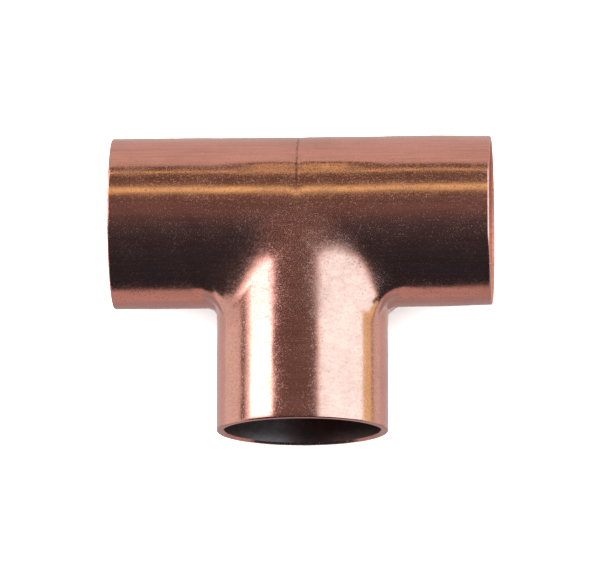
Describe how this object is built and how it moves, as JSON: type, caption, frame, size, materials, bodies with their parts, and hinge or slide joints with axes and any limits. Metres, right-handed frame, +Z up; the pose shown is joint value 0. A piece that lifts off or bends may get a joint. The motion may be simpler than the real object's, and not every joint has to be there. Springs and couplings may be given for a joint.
{
  "type": "pipe tee fitting",
  "caption": "Plain copper tee that joins equal tubes: a straight run with a branch square to it, and a solder socket with an inside stop at every mouth.",
  "frame": {"origin": "where the centre line of the branch meets the centre line of the run", "axes": "X along the run, -Y along the branch out of its mouth, +Z up when the tee lies on its side"},
  "size_m": [0.0538, 0.0422, 0.0242],
  "materials": {
    "copper": "bright formed copper with a light brown tarnish and fine handling scratches"
  },
  "bodies": {
    "root": {"tee_body": "copper"}
  },
  "joints": []
}
